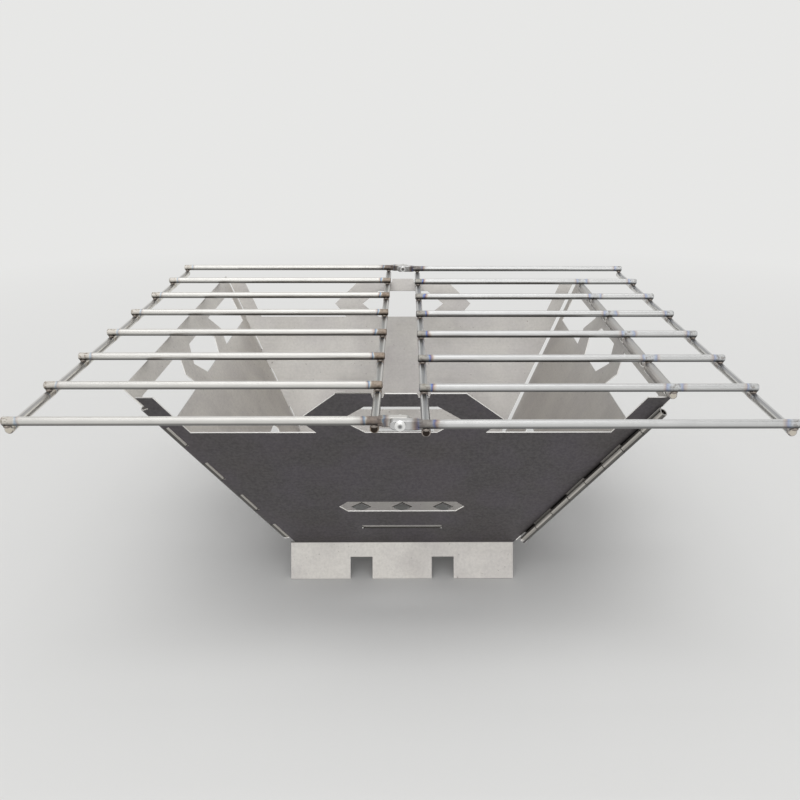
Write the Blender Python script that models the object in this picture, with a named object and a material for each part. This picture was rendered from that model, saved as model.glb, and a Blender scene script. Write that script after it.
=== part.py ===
# Fold-flat wood fired grill: four leaning sheet panels, pinned at three corners,
# round an ember floor, under a two-leaf rod grate.
# +Z is up, the front is -Y, and the origin is on the ground under the middle of the grate.

import math

import bpy
import bmesh
from mathutils import Matrix, Vector
from mathutils.geometry import delaunay_2d_cdt

GAP = 0.0003

# Sheet panels
SHEET = 0.0008
HALF_BOTTOM = 0.080
SLANT = 0.1575
LEAN = math.radians(29.65)
FOOT_SPLAY = math.radians(20.0)
FOOT_LENGTH = 0.0262
FOOT_BEND_RADIUS = 0.0014
FOOT_HALF_WIDTH = 0.0778
FOOT_NOTCH_TOP = 0.0108
FOOT_NOTCH_WIDTH = 0.0155
BEND_STEPS = 4

# Openings in the panels: half widths, and depths below the top edge
CUT_DEPTH = 0.0352
POST_WIDTH = 0.0145
RING_BASE = 0.0505
RING_POINT = 0.0605
RING_POINT_DEPTH = 0.023
RING_TOP = 0.0375
STRIP_HEIGHT = 0.0095
RING_AT_STRIP = 0.048
WINDOW_HALF = 0.0215
WINDOW_POINT = 0.036
WINDOW_DEPTH = 0.0112
VENT_UP = 0.044
VENT_HALF = 0.0416
VENT_HEIGHT = 0.0113
TAB_SLOT_HEIGHT = 0.0039
REST_NOTCH_HALF = 0.003
REST_NOTCH_FLARE = 0.001

# Corner hinges
PIN_RADIUS = 0.0014
ROLL_TURN = math.radians(300.0)
ROLL_STEPS = 12
KNUCKLES = 8
KNUCKLE_FIRST = 0.0055
KNUCKLE_TOP_GAP = 0.0157
KNUCKLE_GAP = 0.0005
NEIGHBOUR_CUT = 0.0031
CORNER_CUT = 0.0026
OPEN_CORNER_CUT = 0.0025
FOOT_RELIEF = 0.007
PIN_SHORT = 0.003

# Ember floor
FLOOR_HEIGHT = 0.0162
FLOOR_SHEET = 0.0008
TAB_HALF = 0.0266
SLOT_SIDE_GAP = 0.0006
DIAMOND_PITCH = 0.0294
DIAMOND_HALF = 0.0074
DIAMOND_COUNT = 5
FLOOR_CORNER = 0.014

# Grate
ROD_RADIUS = 0.0024
ROD_PITCH = 0.057
ROD_COUNT = 8
FIRE_BOX_Y = 0.018
LEAF_END = 0.2015
INNER_ROD_X = 0.0132
INNER_OVERHANG = 0.0029
OUTER_OVERHANG = 0.0024
LONG_END_IN = 0.001
ROD_SEGMENTS = 20
ROD_CHAMFER = 0.0006
TUBE_NOTCH_GAP = 0.0009
TUBE_NOTCH_DEPTH = 0.005
TUBE_LEAST = 0.004
TUBE_TURN = math.radians(305.0)
TUBE_END_IN = 0.002

# Centre rivets, through the flattened ends of the outermost cross rods
BAR_HALF = 0.0026
BAR_OUTER = 0.0021
BAR_FACE_IN = 0.0001
BAR_PAST = 0.0053
BAR_STRAIGHT = 0.008
BAR_RUN = 0.0035
BAR_THIN = 0.0003
BAR_BEVEL = 0.0005
BAR_STEPS = 10
BAR_IN_ROD = 0.0005
RIVET_RADIUS = 0.0016
RIVET_HEAD = 0.0029
RIVET_DOME = 0.0014
RIVET_TAIL = 0.0023
RIVET_TAIL_HIGH = 0.0008
RIVET_TAIL_EDGE = 0.0005
RIVET_TAIL_CHAMFER = 0.0004
RIVET_DIMPLE = 0.0010
RIVET_DIMPLE_FLOOR = 0.0008
RIVET_SEGMENTS = 24

# Sizes that follow from the ones above, across (u) and up the slope (s)
CUT_BOTTOM = SLANT - CUT_DEPTH
STRIP_BOTTOM = SLANT - STRIP_HEIGHT
RING_POINT_UP = SLANT - RING_POINT_DEPTH
WINDOW_TOP = SLANT - WINDOW_DEPTH
FOOT_STRAIGHT = FOOT_LENGTH - FOOT_BEND_RADIUS * (LEAN + FOOT_SPLAY)
BEND_DROP = FOOT_BEND_RADIUS * (math.sin(LEAN) + math.sin(FOOT_SPLAY))
BEND_Z = FOOT_STRAIGHT * math.cos(FOOT_SPLAY) + BEND_DROP + SHEET / 2 * math.sin(FOOT_SPLAY)
ROLL_MID = PIN_RADIUS + GAP + SHEET / 2
TUBE_MID = ROD_RADIUS + GAP + SHEET / 2
EDGE_TILT = math.atan(math.sin(LEAN))
KNUCKLE_LAST = SLANT / math.cos(EDGE_TILT) - KNUCKLE_TOP_GAP
BOX_TOP_Z = BEND_Z + SLANT * math.cos(LEAN)
LOWER_ROD_Z = BOX_TOP_Z
UPPER_ROD_Z = LOWER_ROD_Z + 2 * ROD_RADIUS + GAP
UNDER_ROD = BEND_Z + ROD_RADIUS + GAP + SHEET / 2 * math.sin(LEAN)
REST_UP = (LOWER_ROD_Z - UNDER_ROD) / math.cos(LEAN)
LEFT_TOP_UP = (UPPER_ROD_Z - UNDER_ROD) / math.cos(LEAN)
GRATE_PIVOT = Vector((0.0, 0.0, UPPER_ROD_Z))
TUBE_UP = (LOWER_ROD_Z - BEND_Z - TUBE_MID * math.sin(LEAN)) / math.cos(LEAN)
TUBE_X = HALF_BOTTOM + TUBE_UP * math.sin(LEAN) - TUBE_MID * math.cos(LEAN)
FLOOR_UP = FLOOR_HEIGHT / math.cos(LEAN)
UNDER_TAB = (FLOOR_SHEET / 2 + GAP + SHEET / 2 * math.sin(LEAN)) / math.cos(LEAN)
GRATE_HINGE = Vector((TUBE_X, 0.0, LOWER_ROD_Z))
# The left leaf lies one rod behind the right one, so that it folds down between its rods
LEAF_STEP = 2 * ROD_RADIUS + GAP
MIDDLE_YS = [ROD_PITCH * (k - (ROD_COUNT - 1) / 2) for k in range(ROD_COUNT)]
LEFT_YS = [y + LEAF_STEP / 2 for y in MIDDLE_YS]
RIGHT_YS = [y - LEAF_STEP / 2 for y in MIDDLE_YS]
TUBE_NOTCH_FRONT = ROD_RADIUS + TUBE_NOTCH_GAP
TUBE_NOTCH_BACK = TUBE_NOTCH_FRONT + LEAF_STEP
BARREL_OUT = 1.0
BARREL_IN = -1.0
NO_BARREL = 0.0
EVEN = 0
ODD = 1
QUARTER = math.pi / 2
SHARP_ANGLE = math.radians(32.0)
# Flat patterns are cut in millimetres, for the accuracy of the triangles
MILLIMETRES = 1000.0
MERGE_DISTANCE = 1e-4
LEAST_AREA = 1e-8
DOME_ANGLES = [math.radians(a) for a in (12.0, 30.0, 50.0, 70.0, 84.0)]

# Bare metal colours
METAL_ROUGHNESS = 0.32
OUTER_COLOUR = (0.62, 0.6, 0.58)
FLOOR_COLOUR = (0.5, 0.49, 0.47)
LEFT_COLOUR = (0.66, 0.65, 0.62)
RIGHT_COLOUR = (0.62, 0.63, 0.64)
PIN_COLOUR = (0.45, 0.45, 0.45)
RIVET_COLOUR = (0.72, 0.72, 0.7)


def clear_scene():
    for item in list(bpy.data.objects):
        bpy.data.objects.remove(item, do_unlink=True)
    for mesh in list(bpy.data.meshes):
        bpy.data.meshes.remove(mesh)


def make_material(name, colour):
    material = bpy.data.materials.new(name)
    material.use_nodes = True
    shader = material.node_tree.nodes["Principled BSDF"]
    shader.inputs["Base Color"].default_value = (*colour, 1.0)
    shader.inputs["Metallic"].default_value = 1.0
    shader.inputs["Roughness"].default_value = METAL_ROUGHNESS
    return material


def at(x, y, z):
    return Vector((x, y, z))


def add_mesh(name, points, faces, colour):
    mesh = bpy.data.meshes.new(name)
    mesh.from_pydata([tuple(p) for p in points], [], faces)
    mesh.validate()
    item = bpy.data.objects.new(name, mesh)
    bpy.context.scene.collection.objects.link(item)
    mesh.materials.append(make_material(name + "_metal", colour))
    build = bmesh.new()
    build.from_mesh(mesh)
    bmesh.ops.recalc_face_normals(build, faces=build.faces)
    build.to_mesh(mesh)
    build.free()
    mesh.shade_smooth()
    mesh.set_sharp_from_angle(angle=SHARP_ANGLE)
    return item


def set_pivot(item, point):
    """Put the origin of a moving piece on its joint axis."""
    item.data.transform(Matrix.Translation(-point))
    item.location = point


# Flat pattern of a sheet, cut out, then folded

def inside(point, loop):
    hit = False
    x, y = point
    for (x1, y1), (x2, y2) in zip(loop, loop[1:] + loop[:1]):
        if (y1 > y) != (y2 > y):
            if x < (x2 - x1) * (y - y1) / (y2 - y1) + x1:
                hit = not hit
    return hit


def area(a, b, c):
    return abs((b[0] - a[0]) * (c[1] - a[1]) - (c[0] - a[0]) * (b[1] - a[1])) / 2


def flat_triangles(outline, holes, folds):
    points = []
    edges = []
    for loop in [outline] + holes:
        first = len(points)
        points += loop
        edges += [(first + i, first + (i + 1) % len(loop)) for i in range(len(loop))]
    for start, end in folds:
        edges.append((len(points), len(points) + 1))
        points += [start, end]
    scaled = [Vector(p) * MILLIMETRES for p in points]
    result = delaunay_2d_cdt(scaled, edges, [], 0, MERGE_DISTANCE)
    corners = [(v.x / MILLIMETRES, v.y / MILLIMETRES) for v in result[0]]
    kept = []
    for face in result[2]:
        middle = (
            sum(corners[i][0] for i in face) / 3.0,
            sum(corners[i][1] for i in face) / 3.0,
        )
        if area(*(corners[i] for i in face)) < LEAST_AREA:
            continue
        if inside(middle, outline) and not any(inside(middle, hole) for hole in holes):
            kept.append(tuple(face))
    return corners, kept


def fold_sheet(name, outline, holes, folds, thickness, place, colour):
    corners, faces = flat_triangles(outline, holes, folds)
    used = sorted({i for face in faces for i in face})
    slot = {old: new for new, old in enumerate(used)}
    count = len(used)
    points = [place(*corners[i], thickness / 2) for i in used]
    points += [place(*corners[i], -thickness / 2) for i in used]
    solid = []
    directed = set()
    for face in faces:
        a, b, c = (slot[i] for i in face)
        solid.append((a, b, c))
        solid.append((c + count, b + count, a + count))
        directed |= {(a, b), (b, c), (c, a)}
    for a, b in sorted(directed):
        if (b, a) not in directed:
            solid.append((b, a, a + count, b + count))
    return add_mesh(name, points, solid, colour)


def roll(along, offset, radius, side):
    """Wrap a flat distance round an axis on one side of the sheet."""
    turn = along / radius
    reach = radius - side * offset
    return reach * math.sin(turn), side * radius - side * reach * math.cos(turn)


class Edge:
    """A sloping edge of a panel, with the hinge axis that it shares."""

    def __init__(self, side, barrel, own):
        self.side = side
        self.barrel = barrel
        self.own = own
        self.root = HALF_BOTTOM + barrel * ROLL_MID * math.cos(LEAN)

    def to_sheet(self, along, out):
        u = self.root + along * math.sin(EDGE_TILT) + out * math.cos(EDGE_TILT)
        return self.side * u, along * math.cos(EDGE_TILT) - out * math.sin(EDGE_TILT)

    def to_edge(self, u, s):
        du = self.side * u - self.root
        along = du * math.sin(EDGE_TILT) + s * math.cos(EDGE_TILT)
        return along, du * math.cos(EDGE_TILT) - s * math.sin(EDGE_TILT)

    def at_height(self, s, out):
        along = (s + out * math.sin(EDGE_TILT)) / math.cos(EDGE_TILT)
        return self.to_sheet(along, out)

    def knuckle(self, low, high, relief):
        """Outline and fold lines of one knuckle, before it is rolled."""
        outs = [ROLL_MID * ROLL_TURN * i / ROLL_STEPS for i in range(ROLL_STEPS + 1)]
        points = [self.to_sheet(low + relief, -NEIGHBOUR_CUT)]
        if relief:
            points.append(self.to_sheet(low + relief, 0.0))
        points += [self.to_sheet(low, out) for out in outs]
        points += [self.to_sheet(high, out) for out in reversed(outs)]
        points.append(self.to_sheet(high, -NEIGHBOUR_CUT))
        folds = [(self.to_sheet(low, out), self.to_sheet(high, out)) for out in outs]
        return points, folds

    def outline(self, top_up):
        """Points and fold lines up the edge, from the bottom to the top."""
        if self.own is None:
            ends = [self.at_height(s, -OPEN_CORNER_CUT) for s in (0.0, top_up)]
            return ends, []
        points = [self.at_height(0.0, -NEIGHBOUR_CUT)]
        folds = []
        step = (KNUCKLE_LAST - KNUCKLE_FIRST) / KNUCKLES
        for index in range(self.own, KNUCKLES, 2):
            low = KNUCKLE_FIRST + step * index + KNUCKLE_GAP / 2
            relief = FOOT_RELIEF if index == 0 else 0.0
            more, lines = self.knuckle(low, low + step - KNUCKLE_GAP, relief)
            points += more
            folds += lines
        points.append(self.to_sheet(KNUCKLE_LAST + KNUCKLE_GAP, -NEIGHBOUR_CUT))
        points.append(self.to_sheet(KNUCKLE_LAST + KNUCKLE_GAP, -CORNER_CUT))
        points.append(self.at_height(top_up, -CORNER_CUT))
        return points, folds


class Panel:
    """A leaning panel: which way it faces, its edges and how its sheet folds."""

    def __init__(self, turn, left, right, top_up, foot=False, tube=False):
        self.turn = Matrix.Rotation(turn, 3, "Z")
        self.left = left
        self.right = right
        self.top_up = top_up
        self.foot = foot
        self.tube = tube

    def flat(self, u, s, w):
        outward = HALF_BOTTOM + s * math.sin(LEAN) + w * math.cos(LEAN)
        up = BEND_Z + s * math.cos(LEAN) - w * math.sin(LEAN)
        return self.turn @ Vector((u, -outward, up)) + Vector((0.0, FIRE_BOX_Y, 0.0))

    def folded(self, u, s, offset):
        if self.foot and s < 0.0:
            drop, w = fold_foot(-s, offset)
            return self.flat(u, -drop, w)
        if self.tube and s > TUBE_UP:
            rise, w = roll(s - TUBE_UP, offset, TUBE_MID, BARREL_IN)
            return self.flat(u, TUBE_UP + rise, w)
        for edge in (self.left, self.right):
            along, out = edge.to_edge(u, s)
            if edge.own is not None and out > 0.0:
                reach, w = roll(out, offset, ROLL_MID, edge.barrel)
                return self.flat(*edge.to_sheet(along, reach), w)
        return self.flat(u, s, offset)

    def axis_point(self, edge, along):
        u, s = edge.to_sheet(along, 0.0)
        return self.flat(u, s, edge.barrel * ROLL_MID)


def fold_foot(down, offset):
    bend = FOOT_BEND_RADIUS * (LEAN + FOOT_SPLAY)
    drop, w = roll(min(down, bend), offset, FOOT_BEND_RADIUS, BARREL_OUT)
    past = max(down - bend, 0.0)
    return drop + past * math.cos(LEAN + FOOT_SPLAY), w + past * math.sin(LEAN + FOOT_SPLAY)


def foot_outline():
    """Points and fold lines of the foot, from left to right, with its rod notches."""
    bend = FOOT_BEND_RADIUS * (LEAN + FOOT_SPLAY)
    rows = [-bend * i / BEND_STEPS for i in range(BEND_STEPS + 1)]
    points = [(-FOOT_HALF_WIDTH, row) for row in rows]
    points.append((-FOOT_HALF_WIDTH, -FOOT_LENGTH))
    for middle in (-ROD_PITCH / 2, ROD_PITCH / 2):
        points.append((middle - FOOT_NOTCH_WIDTH / 2, -FOOT_LENGTH))
        points.append((middle - FOOT_NOTCH_WIDTH / 2, -FOOT_NOTCH_TOP))
        points.append((middle + FOOT_NOTCH_WIDTH / 2, -FOOT_NOTCH_TOP))
        points.append((middle + FOOT_NOTCH_WIDTH / 2, -FOOT_LENGTH))
    points.append((FOOT_HALF_WIDTH, -FOOT_LENGTH))
    points += [(FOOT_HALF_WIDTH, row) for row in reversed(rows)]
    return points, [((-FOOT_HALF_WIDTH, row), (FOOT_HALF_WIDTH, row)) for row in rows]


def post_inside(s):
    return HALF_BOTTOM + s * math.sin(LEAN) - POST_WIDTH


def ring_top():
    """Open top of a front or back panel, right to left: posts, cuts, ring, rod rests."""
    half = [
        (post_inside(REST_UP), REST_UP),
        (post_inside(CUT_BOTTOM), CUT_BOTTOM),
        (RING_BASE, CUT_BOTTOM),
        (RING_POINT, RING_POINT_UP),
        (RING_TOP, SLANT),
        (INNER_ROD_X + REST_NOTCH_HALF + REST_NOTCH_FLARE, SLANT),
        (INNER_ROD_X + REST_NOTCH_HALF, REST_UP),
        (INNER_ROD_X - REST_NOTCH_HALF, REST_UP),
        (INNER_ROD_X - REST_NOTCH_HALF - REST_NOTCH_FLARE, SLANT),
    ]
    return half + [(-u, s) for u, s in reversed(half)]


def tube_top(front_u):
    """Top of the right panel, right to left: tube lengths with a notch at each rod."""
    outs = [TUBE_MID * TUBE_TURN * i / ROLL_STEPS for i in range(ROLL_STEPS + 1)]
    low = TUBE_UP - TUBE_NOTCH_DEPTH
    room = -front_u - TUBE_LEAST
    notches = [
        (y - FIRE_BOX_Y - TUBE_NOTCH_FRONT, y - FIRE_BOX_Y + TUBE_NOTCH_BACK)
        for y in RIGHT_YS
    ]
    notches = [(low_u, high_u) for low_u, high_u in notches if -room < low_u and high_u < room]
    starts = [front_u] + [high_u for low_u, high_u in notches]
    ends = [low_u for low_u, high_u in notches]
    points = [(starts[-1], TUBE_UP), (starts[-1], low)]
    folds = []
    for start, end in reversed(list(zip(starts, ends))):
        points.append((end, low))
        points += [(end, TUBE_UP + out) for out in outs]
        points += [(start, TUBE_UP + out) for out in reversed(outs)]
        points.append((start, low))
        folds += [((start, TUBE_UP + out), (end, TUBE_UP + out)) for out in outs]
    points.pop()
    return points, folds


def hexagon(half_flat, half_point, low, high):
    right = [(half_flat, low), (half_point, (low + high) / 2), (half_flat, high)]
    return right + [(-u, s) for u, s in reversed(right)]


def rectangle(half, low, high):
    return [(half, low), (half, high), (-half, high), (-half, low)]


def diamond(x, y):
    reach = ((1, 0), (0, 1), (-1, 0), (0, -1))
    return [(x + a * DIAMOND_HALF, y + b * DIAMOND_HALF) for a, b in reach]


def closed_cuts():
    """The two cuts of a side panel, closed at the top by its strip."""
    cut = [
        (RING_BASE, CUT_BOTTOM),
        (post_inside(CUT_BOTTOM), CUT_BOTTOM),
        (post_inside(STRIP_BOTTOM), STRIP_BOTTOM),
        (RING_AT_STRIP, STRIP_BOTTOM),
        (RING_POINT, RING_POINT_UP),
    ]
    return [cut, [(-u, s) for u, s in cut]]


def make_panel(name, panel, colour):
    slot_half = TAB_HALF + SLOT_SIDE_GAP
    slot_low = FLOOR_UP - UNDER_TAB
    slot_high = slot_low + TAB_SLOT_HEIGHT
    vent_low = VENT_UP - VENT_HEIGHT / 2
    vent_high = VENT_UP + VENT_HEIGHT / 2
    holes = [
        hexagon(WINDOW_HALF, WINDOW_POINT, CUT_BOTTOM, WINDOW_TOP),
        hexagon(VENT_HALF - VENT_HEIGHT / 2, VENT_HALF, vent_low, vent_high),
        rectangle(slot_half, slot_low, slot_high),
    ]
    right, folds = panel.right.outline(panel.top_up)
    left, left_folds = panel.left.outline(panel.top_up)
    folds = folds + left_folds
    top = []
    bottom = []
    if panel.foot:
        top = ring_top()
        bottom, foot_folds = foot_outline()
        folds += foot_folds
    else:
        holes += closed_cuts()
    if panel.tube:
        top, tube_folds = tube_top(left[-1][0] + TUBE_END_IN)
        folds += tube_folds
    outline = right + top + list(reversed(left)) + bottom
    return fold_sheet(name, outline, holes, folds, SHEET, panel.folded, colour)


# Ember floor

def floor_outline(half):
    side = [
        (half, -half + FLOOR_CORNER),
        (half, -TAB_HALF),
        (half + floor_tab(), -TAB_HALF),
        (half + floor_tab(), TAB_HALF),
        (half, TAB_HALF),
        (half, half - FLOOR_CORNER),
    ]
    points = []
    for x_axis, y_axis in ((1, 0), (0, 1), (-1, 0), (0, -1)):
        points += [(u * x_axis - v * y_axis, u * y_axis + v * x_axis) for u, v in side]
    return points


def floor_half():
    under = FLOOR_HEIGHT - FLOOR_SHEET / 2
    return HALF_BOTTOM + under * math.tan(LEAN) - SHEET / 2 / math.cos(LEAN) - GAP


def floor_tab():
    return SHEET / math.cos(LEAN) + GAP


def make_floor():
    half = floor_half()
    reach = (DIAMOND_COUNT - 1) / 2
    centres = [DIAMOND_PITCH * (i - reach) for i in range(DIAMOND_COUNT)]
    holes = [diamond(x, y) for x in centres for y in centres]
    level = BEND_Z + FLOOR_HEIGHT

    def flat(x, y, offset):
        return Vector((x, y + FIRE_BOX_Y, level + offset))

    outline = floor_outline(half)
    fold_sheet("floor_plate", outline, holes, [], FLOOR_SHEET, flat, FLOOR_COLOUR)


# Round parts

def lathe(name, profile, start, end, colour, segments=ROD_SEGMENTS):
    """A closed round part: profile of (distance along, radius) from one end to the other."""
    axis = (end - start).normalized()
    across = axis.orthogonal().normalized()
    third = axis.cross(across)
    points = [start + axis * profile[0][0]]
    for along, radius in profile:
        for i in range(segments):
            angle = 2 * math.pi * i / segments
            out = across * math.cos(angle) + third * math.sin(angle)
            points.append(start + axis * along + out * radius)
    points.append(start + axis * profile[-1][0])
    faces = []
    for i in range(segments):
        j = (i + 1) % segments
        faces.append((0, 1 + j, 1 + i))
        for ring in range(len(profile) - 1):
            low = 1 + ring * segments
            high = low + segments
            faces.append((low + i, low + j, high + j, high + i))
        top = 1 + (len(profile) - 1) * segments
        faces.append((len(points) - 1, top + i, top + j))
    return add_mesh(name, points, faces, colour)


def make_rod(name, start, end, radius, colour):
    length = (end - start).length
    profile = [
        (0.0, radius - ROD_CHAMFER),
        (ROD_CHAMFER, radius),
        (length - ROD_CHAMFER, radius),
        (length, radius - ROD_CHAMFER),
    ]
    return lathe(name, profile, start, end, colour)


def prism(name, outline, low_y, high_y, colour):
    count = len(outline)
    points = [(x, low_y, z) for x, z in outline] + [(x, high_y, z) for x, z in outline]
    faces = [tuple(range(count)), tuple(reversed(range(count, 2 * count)))]
    faces += [(i, i + count, (i + 1) % count + count, (i + 1) % count) for i in range(count)]
    return add_mesh(name, points, faces, colour)


def boolean(item, other, kind):
    change = item.modifiers.new(kind, "BOOLEAN")
    change.operation = kind
    change.solver = "EXACT"
    change.object = other
    graph = bpy.context.evaluated_depsgraph_get()
    mesh = bpy.data.meshes.new_from_object(item.evaluated_get(graph))
    item.modifiers.clear()
    old = item.data
    item.data = mesh
    mesh.name = item.name
    bpy.data.meshes.remove(old)
    bpy.data.objects.remove(other, do_unlink=True)


def bar_outline(side):
    """The flattened rod end, seen from the front: round past the rivet, tapered to the rod."""
    round_x = BAR_HALF - BAR_PAST
    turns = [QUARTER + math.pi * i / BAR_STEPS for i in range(BAR_STEPS + 1)]
    points = [(round_x + BAR_HALF * math.cos(t), BAR_HALF * math.sin(t)) for t in turns]
    points += [
        (BAR_STRAIGHT, -BAR_HALF),
        (BAR_STRAIGHT + BAR_RUN, BAR_THIN - ROD_RADIUS),
        (BAR_STRAIGHT + BAR_RUN, ROD_RADIUS - BAR_THIN),
        (BAR_STRAIGHT, BAR_HALF),
    ]
    return [(side * x, z + UPPER_ROD_Z) for x, z in points]


def make_end_rod(name, side, y, layer, colour):
    """An outermost cross rod, whose inner end is flattened for the centre rivet."""
    start = at(side * (BAR_STRAIGHT + BAR_IN_ROD), y, UPPER_ROD_Z)
    rod = make_rod(name, start, at(side * LEAF_END, y, UPPER_ROD_Z), ROD_RADIUS, colour)
    faces = (y - layer * (ROD_RADIUS - BAR_FACE_IN), y + layer * BAR_OUTER)
    bar = prism(name + "_bar", bar_outline(side), min(faces), max(faces), colour)
    bevel = bar.modifiers.new("rim", "BEVEL")
    bevel.width = BAR_BEVEL
    bevel.segments = 2
    bevel.limit_method = "ANGLE"
    bevel.angle_limit = math.radians(60.0)
    boolean(rod, bar, "UNION")
    drill = [at(0.0, y + way * LEAF_STEP, UPPER_ROD_Z) for way in (-1, 1)]
    hole = make_rod(name + "_hole", *drill, RIVET_RADIUS + GAP, colour)
    boolean(rod, hole, "DIFFERENCE")
    rod.data.shade_smooth()
    rod.data.set_sharp_from_angle(angle=SHARP_ANGLE)
    return rod


def make_rivet(name, y, head_way):
    """Domed head on one face of the two flattened ends, flared tail on the other."""
    half = LEAF_STEP / 2 + BAR_OUTER + GAP
    dome = [(-half - RIVET_DOME * math.cos(a), RIVET_HEAD * math.sin(a)) for a in DOME_ANGLES]
    shank = [(-half, RIVET_HEAD), (-half, RIVET_RADIUS), (half, RIVET_RADIUS)]
    tail = [
        (half, RIVET_TAIL),
        (half + RIVET_TAIL_EDGE, RIVET_TAIL),
        (half + RIVET_TAIL_HIGH, RIVET_TAIL - RIVET_TAIL_CHAMFER),
        (half + RIVET_TAIL_HIGH, RIVET_DIMPLE),
        (half, RIVET_DIMPLE_FLOOR),
    ]
    start = at(0.0, y, UPPER_ROD_Z)
    end = start + at(0.0, -head_way, 0.0)
    rivet = lathe(name, dome + shank + tail, start, end, RIVET_COLOUR, RIVET_SEGMENTS)
    set_pivot(rivet, GRATE_HINGE)


def make_long_rod(name, x, front, back, colour):
    ends = [at(x, y, LOWER_ROD_Z) for y in (front, back)]
    return make_rod(name, *ends, ROD_RADIUS, colour)


def make_leaf(label, side, layer, ys, colour, pivot):
    """One half of the grate: cross rods lying on an inner and an outer rod."""
    rods = []
    inner = INNER_ROD_X - INNER_OVERHANG
    for index, y in enumerate(ys):
        name = f"{label}_cross_rod_{index + 1}"
        if index in (0, ROD_COUNT - 1):
            rods.append(make_end_rod(name, side, y, layer, colour))
        else:
            ends = [at(side * x, y, UPPER_ROD_Z) for x in (inner, LEAF_END)]
            rods.append(make_rod(name, *ends, ROD_RADIUS, colour))
    front = ys[0] + LONG_END_IN
    back = ys[-1] - LONG_END_IN
    for part, x in (("inner", INNER_ROD_X), ("outer", LEAF_END - OUTER_OVERHANG)):
        rods.append(make_long_rod(f"{label}_{part}_rod", side * x, front, back, colour))
    for rod in rods:
        set_pivot(rod, pivot)


def make_middle_rod():
    """The rod of the right leaf that turns in the rolled top of the right panel."""
    front = RIGHT_YS[1] + LONG_END_IN
    back = RIGHT_YS[-2] - LONG_END_IN
    rod = make_long_rod("right_leaf_middle_rod", TUBE_X, front, back, RIGHT_COLOUR)
    set_pivot(rod, GRATE_HINGE)


def make_pin(name, panel, edge):
    start = panel.axis_point(edge, KNUCKLE_FIRST + PIN_SHORT)
    end = panel.axis_point(edge, KNUCKLE_LAST - PIN_SHORT)
    return make_rod(name, start, end, PIN_RADIUS, PIN_COLOUR)


def main():
    clear_scene()
    front = Panel(0.0, Edge(-1, BARREL_IN, ODD), Edge(1, BARREL_OUT, EVEN), REST_UP, foot=True)
    right = Panel(QUARTER, Edge(-1, BARREL_OUT, ODD), Edge(1, NO_BARREL, None), TUBE_UP, tube=True)
    back = Panel(2 * QUARTER, Edge(-1, NO_BARREL, None), Edge(1, BARREL_OUT, EVEN), REST_UP, foot=True)
    left = Panel(3 * QUARTER, Edge(-1, BARREL_OUT, ODD), Edge(1, BARREL_IN, EVEN), LEFT_TOP_UP)
    make_panel("front_panel", front, OUTER_COLOUR)
    make_panel("left_panel", left, OUTER_COLOUR)
    make_pin("front_left_pin", front, front.left)
    make_pin("front_right_pin", front, front.right)
    right_panel = make_panel("right_panel", right, OUTER_COLOUR)
    set_pivot(right_panel, right.axis_point(right.left, 0.0))
    back_panel = make_panel("back_panel", back, OUTER_COLOUR)
    back_pin = make_pin("back_left_pin", back, back.right)
    for item in (back_panel, back_pin):
        set_pivot(item, back.axis_point(back.right, 0.0))
    make_floor()
    make_leaf("left_leaf", -1, 1, LEFT_YS, LEFT_COLOUR, GRATE_PIVOT)
    make_leaf("right_leaf", 1, -1, RIGHT_YS, RIGHT_COLOUR, GRATE_HINGE)
    make_middle_rod()
    make_rivet("front_rivet", MIDDLE_YS[0], -1.0)
    make_rivet("back_rivet", MIDDLE_YS[-1], 1.0)


main()
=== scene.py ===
"""Finishes, welds and stage for the fold-flat wood fired grill."""

import math

import bpy
import bmesh
from bpy.props import FloatProperty, FloatVectorProperty, PointerProperty
from bpy.types import Operator, Panel, PropertyGroup
from mathutils import Matrix, Vector


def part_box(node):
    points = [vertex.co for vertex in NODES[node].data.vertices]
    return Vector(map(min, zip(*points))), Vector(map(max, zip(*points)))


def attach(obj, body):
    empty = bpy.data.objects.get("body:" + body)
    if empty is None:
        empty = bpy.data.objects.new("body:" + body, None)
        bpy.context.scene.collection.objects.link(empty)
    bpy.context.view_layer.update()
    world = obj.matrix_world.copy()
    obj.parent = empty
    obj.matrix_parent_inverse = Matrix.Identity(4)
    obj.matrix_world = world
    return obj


bl_info = {
    "name": "Wood Grill Finisher",
    "version": (1, 0, 0),
    "blender": (4, 5, 0),
    "location": "View3D > Sidebar > Wood Grill",
    "description": "Bare metal, weld beads, heat tint and a plain studio for the wood grill",
    "category": "Object",
}

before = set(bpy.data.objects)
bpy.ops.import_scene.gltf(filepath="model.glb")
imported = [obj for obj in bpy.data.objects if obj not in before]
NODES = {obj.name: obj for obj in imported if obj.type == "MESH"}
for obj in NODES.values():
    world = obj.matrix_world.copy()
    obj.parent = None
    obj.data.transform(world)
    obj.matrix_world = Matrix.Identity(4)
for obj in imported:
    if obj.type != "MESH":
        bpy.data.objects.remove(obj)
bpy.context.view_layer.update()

# The axis that each panel's sheet runs along.
PANELS = {"front_panel": "x", "back_panel": "x", "left_panel": "y", "right_panel": "y"}
# Painted light: how much brighter each panel's inner face is painted than the front panel's.
PANEL_PAINTED_LIGHT = {"front_panel": 1.0, "back_panel": 1.0, "left_panel": 1.48, "right_panel": 1.12}
PINS = ("front_left_pin", "front_right_pin", "back_left_pin")
RIVETS = ("front_rivet", "back_rivet")
LEAVES = ("left_leaf", "right_leaf")


def middle(name):
    low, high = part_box(name)
    return (low + high) / 2


def cross_rods(leaf):
    return sorted(n for n in NODES if n.startswith(leaf + "_cross_rod"))


def long_rods(leaf):
    return sorted(n for n in NODES if n.startswith(leaf) and "cross" not in n)


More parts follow.
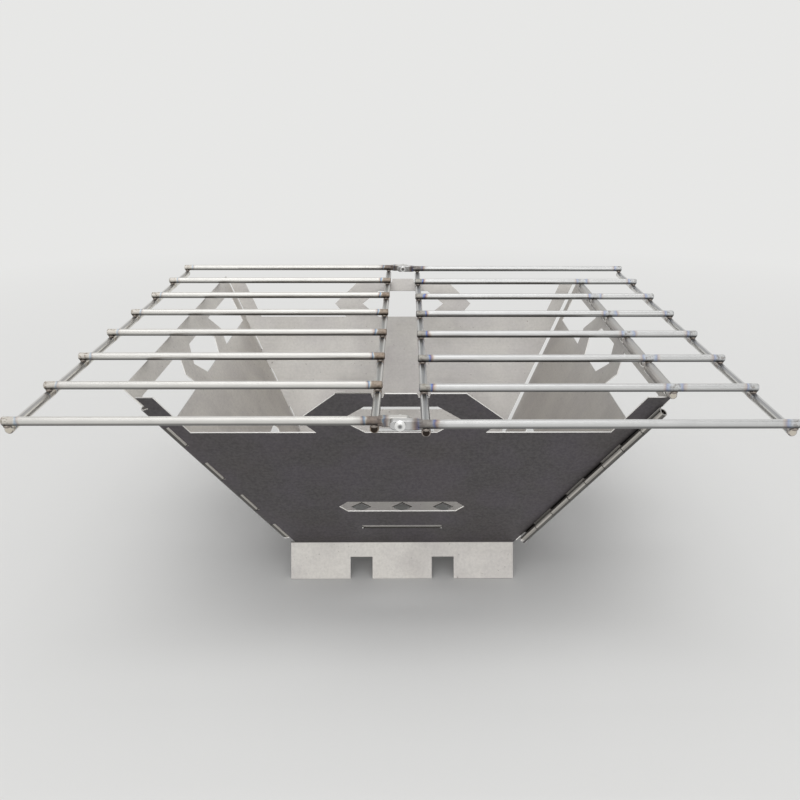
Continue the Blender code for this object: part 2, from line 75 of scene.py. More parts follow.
# The rods' thickness, pitch and places, in metres.
ROD_RADIUS = (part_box("left_leaf_outer_rod")[1].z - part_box("left_leaf_outer_rod")[0].z) / 2
ROD_PITCH = middle("left_leaf_cross_rod_3").y - middle("left_leaf_cross_rod_2").y
INNER_X = middle("right_leaf_inner_rod").x
OUTER_X = middle("right_leaf_outer_rod").x
TUBE_X = middle("right_leaf_middle_rod").x
LOWER_Z = middle("left_leaf_outer_rod").z
UPPER_Z = middle("left_leaf_cross_rod_2").z

# The leaning line of the corner pins, the middle of the fire box, and how high the feet reach.
PIN_LOW, PIN_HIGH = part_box("front_right_pin")
BOX_Y = (PIN_LOW.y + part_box("back_left_pin")[1].y) / 2
FOOT_TOP = 0.0262

# A barrel's metal fades in between these distances from the line of the pins.
BARREL_FADE = (-0.0042, -0.0032)
# The rods' look at the centre fades out between these distances from the middle of the grate.
CENTRE_FADE = (INNER_X + 0.01, INNER_X + 0.05)
# The outermost cross rods' scorching fades in towards the rivet, and out again at the flat end.
SCORCH_FADE = (INNER_X + 0.011, INNER_X + 0.001)
FLAT_END_FADE = (0.0045, 0.0075)
RIVET_MARK_RADIUS = 0.0030
# How far the edge of the heat tint wanders either way, and how coarse the sheet's grain is.
TINT_WANDER = 0.0007
GRAIN_ALONG, GRAIN_ACROSS = 30.0, 1400.0

# How much a face is turned before it counts as looking down, up, along its sheet or along its rod.
LOOKS_DOWN = (-0.02, -0.30)
LOOKS_UP = (0.70, 0.82)
LOOKS_ALONG_SHEET = (0.42, 0.56)
LOOKS_ALONG_ROD = (0.80, 0.95)

# Marks on the sheet metal, and painted shade on the floor plate's rims.
STAIN = (0.17, 0.15, 0.14)
GREY_FLECK = (0.24, 0.23, 0.225)
VIOLET_TINGE = (0.17, 0.14, 0.20)
SPECK = (0.12, 0.10, 0.09)
FLOOR_RIM_SHADE = (0.05, 0.045, 0.04)

# Marks on the rods, and painted shade on the inner rods' cut ends.
SCORCHED = (0.15, 0.125, 0.12)
SHADED_ROD_END = (0.07, 0.05, 0.04)
PALE_END = (0.80, 0.74, 0.64)

# Heat tints from the weld outwards: the bands start at these shares of the tint's reach.
BAND_STARTS = (0.0, 0.32, 0.50, 0.60, 0.68, 0.76, 0.87)
LEFT_TINTS = {
    "bands": (
        (0.66, 0.61, 0.54), (0.64, 0.58, 0.50), (0.56, 0.49, 0.41), (0.66, 0.66, 0.63),
        (0.24, 0.42, 0.62), (0.24, 0.24, 0.30), (0.58, 0.49, 0.43),
    ),
    "burnt": (0.20, 0.15, 0.11), "patches": 0.7, "brown": (0.30, 0.235, 0.185), "soot": 0.85,
}
RIGHT_TINTS = {
    "bands": (
        (0.60, 0.61, 0.60), (0.56, 0.58, 0.62), (0.30, 0.42, 0.64), (0.12, 0.20, 0.52),
        (0.24, 0.19, 0.28), (0.46, 0.35, 0.30), (0.62, 0.56, 0.51),
    ),
    "burnt": (0.20, 0.17, 0.15), "patches": 0.6, "brown": (0.36, 0.335, 0.285), "soot": 0.75,
}
LONG_TINTS = {
    "bands": (
        (0.36, 0.31, 0.28), (0.42, 0.36, 0.33), (0.42, 0.39, 0.42), (0.40, 0.45, 0.54),
        (0.58, 0.60, 0.62), (0.64, 0.62, 0.60), (0.67, 0.66, 0.65),
    ),
    "burnt": (0.20, 0.16, 0.14), "patches": 0.6, "brown": (0.30, 0.26, 0.24), "soot": 0.5,
}

# Painted highlight and shade round a rolled or drawn piece: share of the way from down to up, and a
# factor.
BARREL_SHADING = (
    (0.19, 0.26), (0.29, 0.36), (0.39, 1.1), (0.46, 2.0), (0.58, 1.5), (0.74, 0.60), (0.82, 0.50),
)
CROSS_ROD_SHADING = (
    (0.0, 0.70), (0.06, 0.30), (0.14, 0.14), (0.24, 0.14), (0.36, 0.50),
    (0.46, 0.92), (0.76, 0.90), (0.84, 0.62), (0.93, 0.60), (1.0, 1.0),
)

# Stage: places and sizes in metres, angles in degrees, shifts in frame widths, sensor in millimetres.
PAPER_REACH = 30.0
PAPER_FADE = (0.45, 1.3)
SUN_ANGLE = 50.0
SUN_TILT = (12.0, -8.0)
LAMP_TARGET = (0.0, 0.0, 0.1)
OVERHEAD_PLACE, OVERHEAD_SIZE = (0.0, 0.3, 2.4), (2.4, 0.9)
FRONT_PLACE, FRONT_SIZE = (0.0, -2.0, 1.5), (2.6, 0.8)
CAMERA_PLACE = (0.0034, -0.6227, 0.3286)
CAMERA_PITCH, CAMERA_YAW, CAMERA_ROLL = 19.671, 0.502, 0.104
CAMERA_SHIFT = (-0.01775, 0.00353)
SENSOR_WIDTH = 36.0


class SheetSettings(PropertyGroup):
    inside: FloatVectorProperty(
        name="Inner faces", description="Clean bare metal of the faces that look up",
        subtype="COLOR", size=3, min=0.0, max=1.0, default=(0.50, 0.482, 0.458),
    )
    # The outer colour is painted shade for the faces that look down.
    outside: FloatVectorProperty(
        name="Outer faces", description="Dull dark metal of the faces that look down",
        subtype="COLOR", size=3, min=0.0, max=1.0, default=(0.082, 0.0765, 0.080),
    )
    edge: FloatVectorProperty(
        name="Cut edges", description="Bright metal of the cut edges",
        subtype="COLOR", size=3, min=0.0, max=1.0, default=(0.48, 0.472, 0.46),
    )
    barrel: FloatVectorProperty(
        name="Hinge barrels", description="Darker metal of the rolled hinge barrels",
        subtype="COLOR", size=3, min=0.0, max=1.0, default=(0.28, 0.268, 0.25),
    )
    floor: FloatVectorProperty(
        name="Ember floor", description="Greyer metal of the ember floor",
        subtype="COLOR", size=3, min=0.0, max=1.0, default=(0.36, 0.348, 0.335),
    )
    roughness: FloatProperty(
        name="Sheet roughness", description="How dull the panel metal is",
        default=0.46, min=0.0, max=1.0, subtype="FACTOR",
    )
    grain: FloatProperty(
        name="Grain", description="Depth of the rolling grain in the sheet",
        default=0.04, min=0.0, max=1.0, subtype="FACTOR",
    )


class RodSettings(PropertyGroup):
    left_colour: FloatVectorProperty(
        name="Left leaf colour", description="Warm bare metal of the left leaf",
        subtype="COLOR", size=3, min=0.0, max=1.0, default=(0.74, 0.728, 0.70),
    )
    right_colour: FloatVectorProperty(
        name="Right leaf colour", description="Cooler bare metal of the right leaf",
        subtype="COLOR", size=3, min=0.0, max=1.0, default=(0.69, 0.692, 0.69),
    )
    roughness: FloatProperty(
        name="Rod roughness", description="How dull the rods are",
        default=0.30, min=0.0, max=1.0, subtype="FACTOR",
    )
    tint_reach: FloatProperty(
        name="Tint reach", description="How far the heat tint runs along a rod from a weld",
        default=0.0072, min=0.002, max=0.04, subtype="DISTANCE", unit="LENGTH",
    )
    bead_width: FloatProperty(
        name="Bead width", description="Width of the weld bead between two crossing rods",
        default=0.0040, min=0.003, max=0.01, subtype="DISTANCE", unit="LENGTH",
    )
    bead_height: FloatProperty(
        name="Bead height", description="Height of the weld bead between two crossing rods",
        default=0.0024, min=0.001, max=0.01, subtype="DISTANCE", unit="LENGTH",
    )


class StageSettings(PropertyGroup):
    paper: FloatVectorProperty(
        name="Paper colour", description="Colour of the plain pale floor and backdrop",
        subtype="COLOR", size=3, min=0.0, max=1.0, default=(0.80, 0.80, 0.79),
    )
    lens: FloatProperty(
        name="Lens", description="Focal length of the camera in millimetres",
        default=40.38, min=10.0, max=200.0,
    )
    sun_strength: FloatProperty(
        name="Sun strength", description="Strength of the wide soft light from above",
        default=0.6, min=0.0, max=20.0,
    )
    overhead_power: FloatProperty(
        name="Overhead power", description="Power of the soft box overhead",
        default=10.0, min=0.0, max=500.0, unit="POWER",
    )
    front_power: FloatProperty(
        name="Front power", description="Power of the long soft box at the front",
        default=8.0, min=0.0, max=500.0, unit="POWER",
    )
    world_strength: FloatProperty(
        name="World strength", description="Strength of the even light from all round",
        default=0.54, min=0.0, max=5.0,
    )


class Wiring:
    """Adds nodes to a material's or the world's tree, one after another."""

    def __init__(self, tree):
        self.tree = tree

    def node(self, kind, **values):
        item = self.tree.nodes.new(kind)
        for key, value in values.items():
            setattr(item, key, value)
        return item

    def join(self, source, target):
        self.tree.links.new(source, target)

    def maths(self, kind, first, second=0.0):
        item = self.node("ShaderNodeMath", operation=kind)
        for socket, value in zip(item.inputs, (first, second)):
            if isinstance(value, (int, float)):
                socket.default_value = value
            else:
                self.join(value, socket)
        return item.outputs[0]

    def rays(self):
        """Which rays come straight from the camera, and which by way of metal or glass."""
        path = self.node("ShaderNodeLightPath").outputs
        mirrored = self.maths("MAXIMUM", path["Is Glossy Ray"], path["Is Transmission Ray"])
        return path["Is Camera Ray"], mirrored

    def end_in_mix(self, share, first, second, output):
        """Mixes two shaders by the share and sends them to the tree's output."""
        mix = self.node("ShaderNodeMixShader")
        self.join(share, mix.inputs["Fac"])
        self.join(first.outputs[0], mix.inputs[1])
        self.join(second.outputs[0], mix.inputs[2])
        self.join(mix.outputs[0], self.tree.nodes[output].inputs["Surface"])


class Finish(Wiring):
    """Wiring for one material, which follows the piece's own place and the way it faces."""

    def __init__(self, name):
        self.material = bpy.data.materials.new(name)
        self.material.use_nodes = True
        super().__init__(self.material.node_tree)
        self.shader = self.tree.nodes["Principled BSDF"]
        where = self.node("ShaderNodeTexCoord")
        self.place = where.outputs["Object"]
        self.facing = where.outputs["Normal"]

    def split(self, vector):
        """The three parts of a vector, by axis."""
        item = self.node("ShaderNodeSeparateXYZ")
        self.join(vector, item.inputs[0])
        return item.outputs

    def stretched(self, scale):
        mapping = self.node("ShaderNodeMapping")
        mapping.inputs["Scale"].default_value = scale
        self.join(self.place, mapping.inputs["Vector"])
        return mapping.outputs["Vector"]

    def noise(self, scale, detail, roughness=0.5, vector=None):
        item = self.node("ShaderNodeTexNoise")
        item.inputs["Scale"].default_value = scale
        item.inputs["Detail"].default_value = detail
        item.inputs["Roughness"].default_value = roughness
        self.join(vector or self.place, item.inputs["Vector"])
        return item.outputs["Fac"]

    def spread(self, value, low, high, start=0.0, end=1.0, clamp=True):
        """The value's way from low to high, as a number from start to end."""
        item = self.node("ShaderNodeMapRange", clamp=clamp)
        for key, number in (("From Min", low), ("From Max", high), ("To Min", start), ("To Max", end)):
            item.inputs[key].default_value = number
        self.join(value, item.inputs["Value"])
        return item.outputs["Result"]

    def ramp(self, value, stops):
        item = self.node("ShaderNodeValToRGB")
        band = item.color_ramp
        for element, (position, colour) in zip(band.elements, (stops[0], stops[-1])):
            element.position = position
            element.color = (*colour, 1.0)
        for position, colour in stops[1:-1]:
            band.elements.new(position).color = (*colour, 1.0)
        self.join(value, item.inputs["Fac"])
        return item.outputs["Color"]

    def blend(self, share, first, second):
        item = self.node("ShaderNodeMix", data_type="RGBA")
        self.join(share, item.inputs["Factor"])
        for socket, value in ((item.inputs[6], first), (item.inputs[7], second)):
            if isinstance(value, tuple):
                socket.default_value = (*value, 1.0)
            else:
                self.join(value, socket)
        return item.outputs[2]

    def product(self, first, second):
        item = self.node("ShaderNodeMix", data_type="RGBA", blend_type="MULTIPLY")
        item.inputs["Factor"].default_value = 1.0
        self.join(first, item.inputs[6])
        self.join(second, item.inputs[7])
        return item.outputs[2]

    def bumps(self, height, strength, distance):
        item = self.node("ShaderNodeBump")
        item.inputs["Strength"].default_value = strength
        item.inputs["Distance"].default_value = distance
        self.join(height, item.inputs["Height"])
        self.join(item.outputs["Normal"], self.shader.inputs["Normal"])

    def metal(self, colour, roughness):
        """Sets the shader to bare metal of that colour and roughness."""
        self.join(colour, self.shader.inputs["Base Color"])
        self.join(roughness, self.shader.inputs["Roughness"])
        self.shader.inputs["Metallic"].default_value = 1.0
        return self.material


def toned(colour, factor):
    """The colour, lighter or darker by a factor."""
    return tuple(min(1.0, c * factor) for c in colour)


def grey(level):
    return (level, level, level)


def two_faces(make, bright, settings, down, has_foot):
    """The clean face that looks up with painted light on the foot, and the face that looks down, dark as
    painted shade.
    """
    level = make.spread(make.noise(5.0, detail=2.0), 0.3, 0.7, end=0.22)
    clean = make.blend(level, bright, toned(bright, 0.80))
    if has_foot:
        # The foot gets painted light, brighter than the rest of the face that looks up.
        foot = make.maths("LESS_THAN", make.split(make.place)["Z"], FOOT_TOP)
        clean = make.blend(foot, clean, toned(bright, 1.38))
    # The faces that look down get the dark outer colour as painted shade, with fine grit on it.
    dull = make.blend(level, tuple(settings.outside), toned(settings.outside, 0.85))
    grit = make.spread(make.noise(260.0, detail=3.0, roughness=0.6), 0.3, 0.7, end=0.20)
    dull = make.blend(grit, dull, toned(settings.outside, 1.5))
    return make.blend(down, clean, dull)


def mill_marks(make, tone, stains):
    """Soft stains, fine grey flecks and a faint violet tinge over the sheet."""
    stained = make.blend(make.spread(stains, 0.50, 0.75, end=0.22), tone, STAIN)
    fine = make.spread(make.noise(520.0, detail=3.0, roughness=0.65), 0.38, 0.66, end=0.17)
    flecked = make.blend(fine, stained, GREY_FLECK)
    tinge = make.spread(make.noise(34.0, detail=3.0), 0.42, 0.62, end=0.12)
    return make.blend(tinge, flecked, VIOLET_TINGE)


def brushed_specks(make, marked, bright, grain, down):
    """Bright rolling grain, fainter on the faces painted dark as shade, and small dark specks."""
    inside = make.maths("SUBTRACT", 1.0, make.maths("MULTIPLY", down, 0.85))
    lively = make.maths("MULTIPLY", make.spread(grain, 0.35, 0.7, end=0.10), inside)
    brushed = make.blend(lively, marked, toned(bright, 1.2))
    dots = make.spread(make.noise(420.0, detail=1.0), 0.73, 0.80)
    return make.blend(make.maths("MULTIPLY", dots, 0.55), brushed, SPECK)


def barrel_share(make, along, down, upward):
    """Where a panel is rolled into hinge barrels: along the line of the pins, above the foot."""
    place = make.split(make.place)
    corner = make.spread(place["Z"], PIN_LOW.z, PIN_HIGH.z, PIN_LOW.x, PIN_HIGH.x, clamp=False)
    offset = make.maths("SUBTRACT", place[along.upper()], 0.0 if along == "x" else BOX_Y)
    past = make.maths("SUBTRACT", make.maths("ABSOLUTE", offset), corner)
    barrel = make.spread(past, *BARREL_FADE)
    barrel = make.maths("MULTIPLY", barrel, make.maths("GREATER_THAN", place["Z"], PIN_LOW.z))
    # The back corner's barrels lie outside the box, so what looks up there is plain sheet.
    front_or_down = make.maths("MAXIMUM", make.maths("LESS_THAN", place["Y"], BOX_Y), down)
    barrel = make.maths("MULTIPLY", barrel, front_or_down)
    return make.maths("MULTIPLY", barrel, make.maths("SUBTRACT", 1.0, upward))


def sheet_metal(name, along, bright, settings, is_floor=False):
    """Rolled sheet with its grain and marks, and dark rims or bright cut edges and barrels."""
    make = Finish(name)
    scale = [GRAIN_ALONG if axis == along else GRAIN_ACROSS for axis in "xyz"]
    grain = make.noise(1.0, detail=2.0, roughness=0.6, vector=make.stretched(scale))
    stains = make.noise(14.0, detail=5.0, roughness=0.6)
    facing = make.split(make.facing)
    # Share of each face that looks down, which gets the painted shade.
    down = make.spread(facing["Z"], *LOOKS_DOWN)
    tone = two_faces(make, bright, settings, down, along == "x" and not is_floor)
    marked = mill_marks(make, tone, stains)
    speckled = brushed_specks(make, marked, bright, grain, down)
    rough = make.spread(stains, 0.3, 0.8, settings.roughness - 0.06, settings.roughness + 0.10)
    if is_floor:
        # The floor plate's faces that don't look up, the walls of its holes and its underside, are
        # painted dark as shade.
        rims = make.spread(facing["Z"], 0.7, 0.3, end=0.9)
        finished = make.blend(rims, speckled, FLOOR_RIM_SHADE)
    else:
        upward = make.spread(facing["Z"], *LOOKS_UP)
        edged = make.blend(upward, speckled, tuple(settings.edge))
        # Cut edges that face along the sheet are bright cut metal, made twice as bright again by a
        # painted highlight.
        sideways = make.spread(make.maths("ABSOLUTE", facing[along.upper()]), *LOOKS_ALONG_SHEET)
        edged = make.blend(sideways, edged, toned(settings.edge, 2.0))
        barrel = barrel_share(make, along, down, upward)
        # The barrels get painted highlight and shade in bands by the way they face.
        bands = [(stop, toned(settings.barrel, factor)) for stop, factor in BARREL_SHADING]
        finished = make.blend(barrel, edged, make.ramp(make.spread(facing["Z"], -1.0, 1.0), bands))
        rough = make.maths("SUBTRACT", rough, make.maths("MULTIPLY", barrel, 0.16))
    make.bumps(grain, settings.grain, distance=0.0002)
    return make.metal(finished, rough)


def heat_tint(make, reach, bare, tints, inner, outer):
    """Bands of tint that run out from a weld: paler outside, sooty inside, burnt in patches."""
    tint = make.ramp(reach, [*zip(BAND_STARTS, tints["bands"]), (1.0, bare)])
    paler = make.blend(make.maths("MULTIPLY", outer, 0.5), tint, bare)
    soot = make.maths("MULTIPLY", make.spread(reach, 0.60, 0.46, end=tints["soot"]), inner)
    browned = make.blend(soot, paler, tints["brown"])
    burnt = make.spread(make.noise(420.0, detail=3.0, roughness=0.6), 0.50, 0.62)
    near = make.spread(reach, 0.55, 0.35, end=tints["patches"])
    return make.blend(make.maths("MULTIPLY", burnt, near), browned, tints["burnt"])


def scorch_share(make, side):
    """How scorched an outermost rod is: most beside the rivet, less on its flat end."""
    heated = make.spread(side, *SCORCH_FADE, end=0.86)
    heated = make.maths("MULTIPLY", heated, make.spread(side, *FLAT_END_FADE, start=0.15))
    mottled = make.spread(make.noise(240.0, detail=3.0, roughness=0.6), 0.35, 0.6, start=0.55)
    return make.maths("MULTIPLY", heated, mottled)


def rod_metal(name, colour, tints, settings, distance, scorched=False, lengthwise=False):
    """Drawn rod with heat tint round its welds, worn streaks and painted highlight and shade along its
    length.
    """
    make = Finish(name)
    bare = tuple(colour)
    side = make.maths("ABSOLUTE", make.split(make.place)["X"])
    outer = make.spread(side, *CENTRE_FADE)
    inner = make.maths("SUBTRACT", 1.0, outer)
    away = distance(make)
    wander = make.spread(make.noise(200.0, detail=2.0), 0.3, 0.7, -TINT_WANDER, TINT_WANDER)
    reach = make.spread(make.maths("ADD", away, wander), 0.0, settings.tint_reach)
    marked = heat_tint(make, reach, bare, tints, inner, outer)
    if scorched:
        marked = make.blend(scorch_share(make, side), marked, SCORCHED)
    worn = make.spread(make.noise(60.0, detail=4.0, roughness=0.6), 0.40, 0.8, end=0.22)
    shaded = make.blend(worn, marked, toned(bare, 0.6))
    facing = make.split(make.facing)
    if lengthwise:
        cut = make.spread(make.maths("ABSOLUTE", facing["Y"]), *LOOKS_ALONG_ROD, end=0.9)
        # The inner rods' cut ends are painted dark as shade; the outer rods' ends are pale.
        shaded = make.blend(make.maths("MULTIPLY", cut, inner), shaded, SHADED_ROD_END)
        shaded = make.blend(make.maths("MULTIPLY", cut, outer), shaded, PALE_END)
        painted_sheen = long_rod_shading(make, facing, outer)
    else:
        # The cross rods get painted highlight and shade in bands by the way they face.
        bands = [(stop, grey(level)) for stop, level in CROSS_ROD_SHADING]
        painted_sheen = make.ramp(make.spread(facing["Z"], -1.0, 1.0), bands)
    rough = make.spread(reach, 0.3, 1.0, start=0.42, end=settings.roughness)
    make.bumps(make.noise(900.0, detail=2.0), strength=0.08, distance=0.0002)
    return make.metal(make.product(shaded, painted_sheen), rough)


def long_rod_shading(make, facing, outer):
    """Painted highlight and shade along a lengthwise rod: dark on top near the centre, pale with a grey
    band outside.
    """
    centre = make.ramp(make.maths("ABSOLUTE", facing["X"]), [
        (0.0, (0.38, 0.39, 0.40)),
        (0.28, (0.46, 0.47, 0.48)),
        (0.48, grey(0.90)),
        (0.66, grey(1.0)),
        (1.0, grey(0.70)),
    ])
    outward = make.maths("MULTIPLY", facing["X"], make.maths("SIGN", make.split(make.place)["X"]))
    outside = make.ramp(make.spread(outward, -1.0, 1.0), [
        (0.0, (0.98, 0.97, 0.94)),
        (0.14, (0.98, 0.97, 0.94)),
        (0.22, (0.54, 0.54, 0.56)),
        (0.34, (0.52, 0.52, 0.54)),
        (0.42, grey(0.84)),
        (1.0, grey(0.84)),
    ])
    return make.blend(outer, centre, outside)


def from_cross_welds(middle_weld):
    """How far a point on a cross rod is from its nearest weld."""
    welds = (INNER_X, OUTER_X, TUBE_X) if middle_weld else (INNER_X, OUTER_X)

    def distance(make):
        side = make.maths("ABSOLUTE", make.split(make.place)["X"])
        nearest = None
        for weld in welds:
            gap = make.maths("ABSOLUTE", make.maths("SUBTRACT", side, weld))
            nearest = gap if nearest is None else make.maths("MINIMUM", nearest, gap)
        return nearest

    return distance


def from_long_welds(leaf):
    """How far a point on a lengthwise rod is from its nearest weld."""
    first = middle(leaf + "_cross_rod_2").y

    def distance(make):
        along = make.maths("SUBTRACT", make.split(make.place)["Y"], first)
        return make.maths("PINGPONG", along, ROD_PITCH / 2)

    return distance


def plain_metal(name, colour, roughness, wear):
    """Small turned or drawn steel piece with fine scratches."""
    make = Finish(name)
    grain = make.stretched((500.0, 500.0, 1500.0))
    scratches = make.noise(1.0, detail=2.0, roughness=0.6, vector=grain)
    marks = make.spread(scratches, 0.35, 0.7, end=wear)
    shade = make.blend(marks, tuple(colour), toned(colour, 0.55))
    rough = make.spread(scratches, 0.3, 0.8, roughness, roughness + 0.12)
    make.bumps(scratches, strength=0.1, distance=0.0001)
    return make.metal(shade, rough)


def rivet_metal():
    """Bright rivet with the small dark mark of its setting tool in the middle of the head."""
    make = Finish("rivet_metal")
    spot = make.split(make.place)
    high = make.maths("SUBTRACT", spot["Z"], UPPER_Z)
    squares = make.maths("ADD", make.maths("POWER", spot["X"], 2.0), make.maths("POWER", high, 2.0))
    radius = make.maths("SQRT", squares)
    mark = make.ramp(make.spread(radius, 0.0, RIVET_MARK_RADIUS), [
        (0.0, grey(0.16)),
        (0.24, grey(0.30)),
        (0.50, (0.86, 0.86, 0.85)),
        (1.0, (0.93, 0.93, 0.92)),
    ])
    scratches = make.noise(900.0, detail=2.0, roughness=0.6)
    marks = make.spread(scratches, 0.5, 0.75, end=0.25)
    rough = make.spread(scratches, 0.3, 0.8, start=0.26, end=0.38)
    make.bumps(scratches, strength=0.08, distance=0.0001)
    return make.metal(make.blend(marks, mark, grey(0.5)), rough)


def dress(name, material):
    NODES[name].data.materials.clear()
    NODES[name].data.materials.append(material)


class GRILL_OT_finish_panels(Operator):
    """Give the four leaning panels their rolled sheet finish"""

    bl_idname = "grill.finish_panels"
    bl_label = "Finish Panels"

    def execute(self, context):
        settings = context.scene.grill_sheet
        for name, along in PANELS.items():
            # Each panel's inner colour is brightened by its painted light.
            inside = toned(settings.inside, PANEL_PAINTED_LIGHT[name])
            dress(name, sheet_metal(name + "_sheet", along, inside, settings))
        return {"FINISHED"}


class GRILL_OT_finish_floor(Operator):
    """Give the ember floor its duller sheet finish"""

    bl_idname = "grill.finish_floor"
    bl_label = "Finish Ember Floor"

    def execute(self, context):
        settings = context.scene.grill_sheet
        bright = tuple(settings.floor)
        dress("floor_plate", sheet_metal("ember_floor_sheet", "x", bright, settings, is_floor=True))
        return {"FINISHED"}


class GRILL_OT_finish_pins(Operator):
    """Give the hinge pins a plain drawn finish"""

    bl_idname = "grill.finish_pins"
    bl_label = "Finish Hinge Pins"

    def execute(self, context):
        material = plain_metal("hinge_pin_steel", (0.34, 0.33, 0.32), roughness=0.4, wear=0.5)
        for name in PINS:
            dress(name, material)
        return {"FINISHED"}


class GRILL_OT_finish_rods(Operator):
    """Give the grate rods their metal and the heat tint round each weld"""

    bl_idname = "grill.finish_rods"
    bl_label = "Finish Rods"

    def execute(self, context):
        settings = context.scene.grill_rods
        looks = (
            ("left_leaf", settings.left_colour, LEFT_TINTS, LEFT_TINTS),
            ("right_leaf", settings.right_colour, RIGHT_TINTS, LONG_TINTS),
        )
        for leaf, colour, tints, long_tints in looks:
            welds = from_cross_welds(middle_weld=False)
            end_name = leaf + "_end_rod_metal"
            end_metal = rod_metal(end_name, colour, tints, settings, welds, scorched=True)
            welds = from_cross_welds(leaf == "right_leaf")
            cross_metal = rod_metal(leaf + "_cross_rod_metal", colour, tints, settings, welds)
            rods = cross_rods(leaf)
            for name in rods:
                dress(name, end_metal if name in (rods[0], rods[-1]) else cross_metal)
            welds = from_long_welds(leaf)
            long_name = leaf + "_long_rod_metal"
            long_metal = rod_metal(long_name, colour, long_tints, settings, welds, lengthwise=True)
            for name in long_rods(leaf):
                dress(name, long_metal)
        return {"FINISHED"}


class GRILL_OT_finish_rivets(Operator):
    """Give the centre rivets their bright metal"""

    bl_idname = "grill.finish_rivets"
    bl_label = "Finish Rivets"

    def execute(self, context):
        material = rivet_metal()
        for name in RIVETS:
            dress(name, material)
        return {"FINISHED"}


def add_to_scene(name, data):
    item = bpy.data.objects.new(name, data)
    bpy.context.scene.collection.objects.link(item)
    return item


def add_bead(build, centre, width, height):
    """A flattened drop of weld metal between two crossing rods."""
    place = Matrix.Translation(centre) @ Matrix.Diagonal((width / 2, width / 2, height / 2, 1.0))
    bmesh.ops.create_uvsphere(build, u_segments=14, v_segments=8, radius=1.0, matrix=place)


class GRILL_OT_add_welds(Operator):
    """Put a weld bead where each cross rod lies on a lengthwise rod"""

    bl_idname = "grill.add_welds"
    bl_label = "Add Weld Beads"

    def execute(self, context):
        settings = context.scene.grill_rods
        material = plain_metal("weld_bead_metal", (0.36, 0.32, 0.29), roughness=0.42, wear=0.5)
        for leaf in LEAVES:
            build = bmesh.new()
            for cross in cross_rods(leaf):
                y = middle(cross).y
                for lengthwise in long_rods(leaf):
                    low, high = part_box(lengthwise)
                    if not low.y - ROD_RADIUS < y < high.y + ROD_RADIUS:
                        continue
                    place = Vector((middle(lengthwise).x, y, (LOWER_Z + UPPER_Z) / 2))
                    add_bead(build, place, settings.bead_width, settings.bead_height)
            # The sphere tool leaves its faces in any order. Sorted, they are the same in each run.
            build.verts.index_update()
            faces = sorted([corner.index for corner in face.verts] for face in build.faces)
            mesh = bpy.data.meshes.new(leaf + "_weld_beads")
            mesh.from_pydata([corner.co[:] for corner in build.verts], [], faces)
            build.free()
            mesh.shade_smooth()
            mesh.materials.append(material)
            beads = add_to_scene(leaf + "_weld_beads", mesh)
            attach(beads, leaf)
        return {"FINISHED"}


def studio_material(name, colour):
    """Paper that keeps the shadow near the grill and is even further out."""
    make = Finish(name)
    make.shader.inputs["Base Color"].default_value = (*colour, 1.0)
    make.shader.inputs["Roughness"].default_value = 0.9
    make.shader.inputs["Specular IOR Level"].default_value = 0.1
    even = make.node("ShaderNodeEmission")
    even.inputs["Color"].default_value = (*colour, 1.0)
    length = make.node("ShaderNodeVectorMath", operation="LENGTH")
    make.join(make.place, length.inputs[0])
    far = make.spread(length.outputs["Value"], *PAPER_FADE)
    camera, mirrored = make.rays()
    shown = make.maths("MAXIMUM", make.maths("MULTIPLY", camera, far), mirrored)
    make.end_in_mix(shown, make.shader, even, "Material Output")
    return make.material


def add_paper(material):
    """Flat floor that runs out to the horizon."""
    sides = ((-1, -1), (1, -1), (1, 1), (-1, 1))
    corners = [(x * PAPER_REACH, y * PAPER_REACH, 0.0) for x, y in sides]
    mesh = bpy.data.meshes.new("studio_paper")
    mesh.from_pydata(corners, [], [(0, 1, 2, 3)])
    mesh.materials.append(material)
    add_to_scene("studio_paper", mesh)


def add_sun(strength):
    """Wide soft light from above, so that it leaves no hot line on the rods."""
    sun = bpy.data.lights.new("wide_sun", "SUN")
    sun.energy = strength
    sun.angle = math.radians(SUN_ANGLE)
    item = add_to_scene("wide_sun", sun)
    item.rotation_euler = (math.radians(SUN_TILT[0]), math.radians(SUN_TILT[1]), 0.0)


def add_lamp(name, place, size, power):
    """Soft box that points at the grill."""
    lamp = bpy.data.lights.new(name, "AREA")
    lamp.shape = "RECTANGLE"
    lamp.size, lamp.size_y = size
    lamp.energy = power
    item = add_to_scene(name, lamp)
    item.location = place
    item.rotation_euler = (Vector(LAMP_TARGET) - Vector(place)).to_track_quat("-Z", "Y").to_euler()


def add_camera(lens):
    """Camera at the photograph's place and angle."""
    pitch = math.radians(CAMERA_PITCH)
    yaw = math.radians(CAMERA_YAW)
    roll = math.radians(CAMERA_ROLL)
    ahead = math.cos(pitch)
    forward = Vector((math.sin(yaw) * ahead, math.cos(yaw) * ahead, -math.sin(pitch)))
    level = Vector((math.cos(yaw), -math.sin(yaw), 0.0))
    upright = level.cross(forward)
    right = math.cos(roll) * level + math.sin(roll) * upright
    up = math.cos(roll) * upright - math.sin(roll) * level
    camera = bpy.data.cameras.new("photo_camera")
    camera.lens = lens
    camera.sensor_width = SENSOR_WIDTH
    camera.shift_x, camera.shift_y = CAMERA_SHIFT
    camera.clip_start = 0.02
    item = add_to_scene("photo_camera", camera)
    turn = Matrix((right, up, -forward)).transposed().to_4x4()
    item.matrix_world = Matrix.Translation(CAMERA_PLACE) @ turn
    bpy.context.scene.camera = item


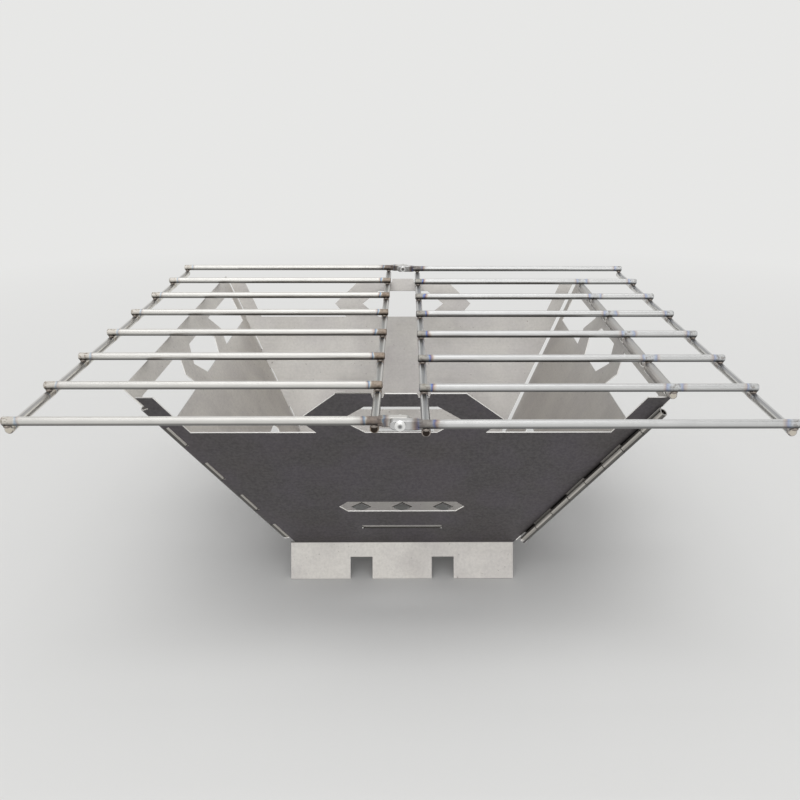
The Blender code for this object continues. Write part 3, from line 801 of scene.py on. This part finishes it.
def light_world(colour, strength):
    """Even soft light, seen as pale paper by the camera and in the metal."""
    world = bpy.data.worlds.new("studio_world")
    world.use_nodes = True
    make = Wiring(world.node_tree)
    lit = make.tree.nodes["Background"]
    lit.inputs["Color"].default_value = (1.0, 1.0, 1.0, 1.0)
    lit.inputs["Strength"].default_value = strength
    seen = make.node("ShaderNodeBackground")
    seen.inputs["Color"].default_value = (*colour, 1.0)
    seen.inputs["Strength"].default_value = 1.0
    camera, mirrored = make.rays()
    make.end_in_mix(make.maths("MAXIMUM", camera, mirrored), lit, seen, "World Output")
    bpy.context.scene.world = world


class GRILL_OT_build_stage(Operator):
    """Set up the pale floor, the soft lamps and the camera"""

    bl_idname = "grill.build_stage"
    bl_label = "Build Stage"

    def execute(self, context):
        settings = context.scene.grill_stage
        add_paper(studio_material("studio_paper_white", tuple(settings.paper)))
        add_sun(settings.sun_strength)
        add_lamp("overhead_softbox", OVERHEAD_PLACE, OVERHEAD_SIZE, settings.overhead_power)
        add_lamp("front_softbox", FRONT_PLACE, FRONT_SIZE, settings.front_power)
        light_world(tuple(settings.paper), settings.world_strength)
        add_camera(settings.lens)
        context.scene.view_settings.view_transform = "Standard"
        return {"FINISHED"}


class GRILL_PT_sidebar(Panel):
    bl_label = "Wood Grill"
    bl_idname = "GRILL_PT_sidebar"
    bl_space_type = "VIEW_3D"
    bl_region_type = "UI"
    bl_category = "Wood Grill"

    def draw(self, context):
        for title, group in (("Sheet", "grill_sheet"), ("Rods", "grill_rods"), ("Stage", "grill_stage")):
            box = self.layout.box()
            box.label(text=title)
            settings = getattr(context.scene, group)
            for key in settings.__annotations__:
                box.prop(settings, key)
        for step in STEPS:
            self.layout.operator(step.bl_idname)


STEPS = (
    GRILL_OT_finish_panels,
    GRILL_OT_finish_floor,
    GRILL_OT_finish_pins,
    GRILL_OT_finish_rods,
    GRILL_OT_finish_rivets,
    GRILL_OT_add_welds,
    GRILL_OT_build_stage,
)
GROUPS = {"grill_sheet": SheetSettings, "grill_rods": RodSettings, "grill_stage": StageSettings}


def register():
    for item in (*GROUPS.values(), *STEPS, GRILL_PT_sidebar):
        bpy.utils.register_class(item)
    for name, group in GROUPS.items():
        setattr(bpy.types.Scene, name, PointerProperty(type=group))


def unregister():
    for name in GROUPS:
        delattr(bpy.types.Scene, name)
    for item in reversed((*GROUPS.values(), *STEPS, GRILL_PT_sidebar)):
        bpy.utils.unregister_class(item)


def main():
    register()
    bpy.ops.grill.finish_panels()
    bpy.ops.grill.finish_floor()
    bpy.ops.grill.finish_pins()
    bpy.ops.grill.finish_rods()
    bpy.ops.grill.finish_rivets()
    bpy.ops.grill.add_welds()
    bpy.ops.grill.build_stage()


if __name__ == "__main__":
    main()
